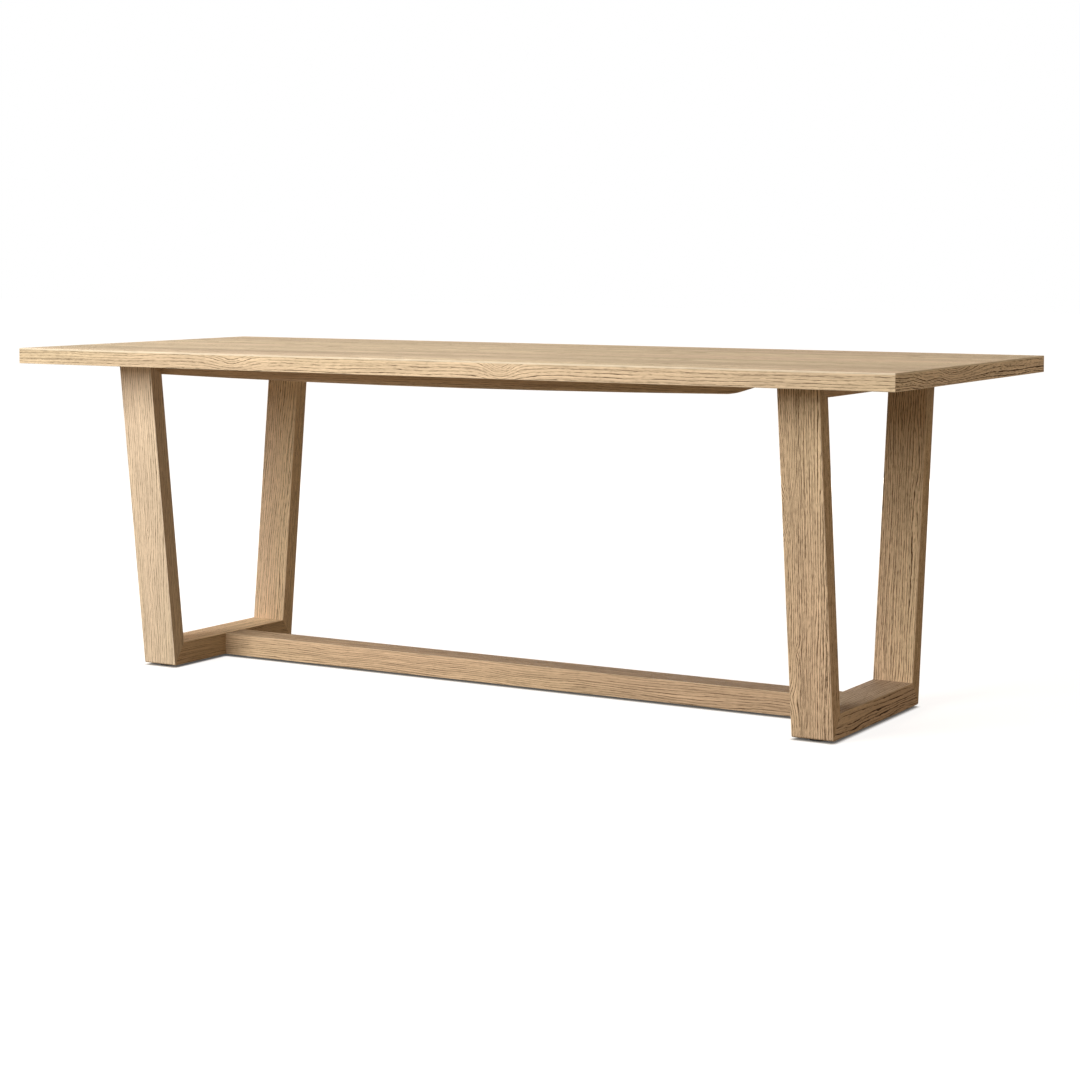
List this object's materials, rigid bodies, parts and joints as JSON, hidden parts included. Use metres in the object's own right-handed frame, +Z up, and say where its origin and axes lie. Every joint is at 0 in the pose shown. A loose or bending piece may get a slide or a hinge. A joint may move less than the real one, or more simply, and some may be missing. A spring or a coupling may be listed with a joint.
{
  "type": "trestle dining table",
  "caption": "Long oak trestle dining table: thick flat top on tapering closed end frames joined by a low flat stretcher, with levelling feet that screw out.",
  "frame": {"origin": "on the floor, under the middle of the table top", "axes": "+X along the table's length, +Y towards its rear long side, +Z up"},
  "size_m": [2.2, 0.852, 0.762],
  "materials": {
    "oak_face": "matt oiled oak",
    "oak_edge": "matt oiled oak",
    "oak_frame": "matt oiled oak",
    "oak_backing": "plain sanded oak",
    "core_board": "raw board",
    "beech": "raw beech",
    "zinc_steel": "zinc plated",
    "brass": "plain brass",
    "black_screw": "blackened",
    "pad_plastic": "satin nylon"
  },
  "bodies": {
    "table": {"top_core_panel": "core_board", "top_face_veneer": "oak_face", "underside_backing_veneer": "oak_backing", "front_edge_lipping": "oak_edge", "rear_edge_lipping": "oak_edge", "left_edge_lipping": "oak_edge", "right_edge_lipping": "oak_edge", "left_front_leg": "oak_frame", "left_rear_leg": "oak_frame", "left_bottom_rail": "oak_frame", "left_top_rail": "oak_frame", "right_front_leg": "oak_frame", "right_rear_leg": "oak_frame", "right_bottom_rail": "oak_frame", "right_top_rail": "oak_frame", "stretcher": "oak_frame", "front_support_rail": "oak_frame", "rear_support_rail": "oak_frame", "lipping_tongues": "beech", "left_corner_tenons": "beech", "right_corner_tenons": "beech", "stretcher_dowels": "beech", "stretcher_hanger_bolts": "zinc_steel", "stretcher_moon_washers": "zinc_steel", "stretcher_nuts": "zinc_steel", "support_rail_screws": "black_screw", "top_fixing_bolts": "zinc_steel", "top_fixing_washers": "zinc_steel", "top_threaded_inserts": "brass", "foot_threaded_inserts": "brass"},
    "left_front_pad": {"left_front_foot_pad": "pad_plastic"},
    "left_front_stem": {"left_front_foot_stem": "zinc_steel"},
    "left_rear_pad": {"left_rear_foot_pad": "pad_plastic"},
    "left_rear_stem": {"left_rear_foot_stem": "zinc_steel"},
    "right_front_pad": {"right_front_foot_pad": "pad_plastic"},
    "right_front_stem": {"right_front_foot_stem": "zinc_steel"},
    "right_rear_pad": {"right_rear_foot_pad": "pad_plastic"},
    "right_rear_stem": {"right_rear_foot_stem": "zinc_steel"}
  },
  "joints": [
    {"name": "left_front_foot_travel", "type": "slide", "parent": "table", "child": "left_front_pad", "axis": [0, 0, -1], "range_m": [0, 0.01]},
    {"name": "left_front_stem_turn", "type": "hinge", "parent": "left_front_pad", "child": "left_front_stem", "pos_m": [-0.8475, -0.20325, 0], "axis": [0, 0, -1], "range_deg": [0, 2880]},
    {"name": "left_rear_foot_travel", "type": "slide", "parent": "table", "child": "left_rear_pad", "axis": [0, 0, -1], "range_m": [0, 0.01]},
    {"name": "left_rear_stem_turn", "type": "hinge", "parent": "left_rear_pad", "child": "left_rear_stem", "pos_m": [-0.8475, 0.20325, 0], "axis": [0, 0, -1], "range_deg": [0, 2880]},
    {"name": "right_front_foot_travel", "type": "slide", "parent": "table", "child": "right_front_pad", "axis": [0, 0, -1], "range_m": [0, 0.01]},
    {"name": "right_front_stem_turn", "type": "hinge", "parent": "right_front_pad", "child": "right_front_stem", "pos_m": [0.8475, -0.20325, 0], "axis": [0, 0, -1], "range_deg": [0, 2880]},
    {"name": "right_rear_foot_travel", "type": "slide", "parent": "table", "child": "right_rear_pad", "axis": [0, 0, -1], "range_m": [0, 0.01]},
    {"name": "right_rear_stem_turn", "type": "hinge", "parent": "right_rear_pad", "child": "right_rear_stem", "pos_m": [0.8475, 0.20325, 0], "axis": [0, 0, -1], "range_deg": [0, 2880]}
  ],
  "couplings": [
    {"joint": "left_front_stem_turn", "follows": "left_front_foot_travel", "rad_per_m": 5026.5},
    {"joint": "left_rear_stem_turn", "follows": "left_rear_foot_travel", "rad_per_m": 5026.5},
    {"joint": "right_front_stem_turn", "follows": "right_front_foot_travel", "rad_per_m": 5026.5},
    {"joint": "right_rear_stem_turn", "follows": "right_rear_foot_travel", "rad_per_m": 5026.5}
  ]
}
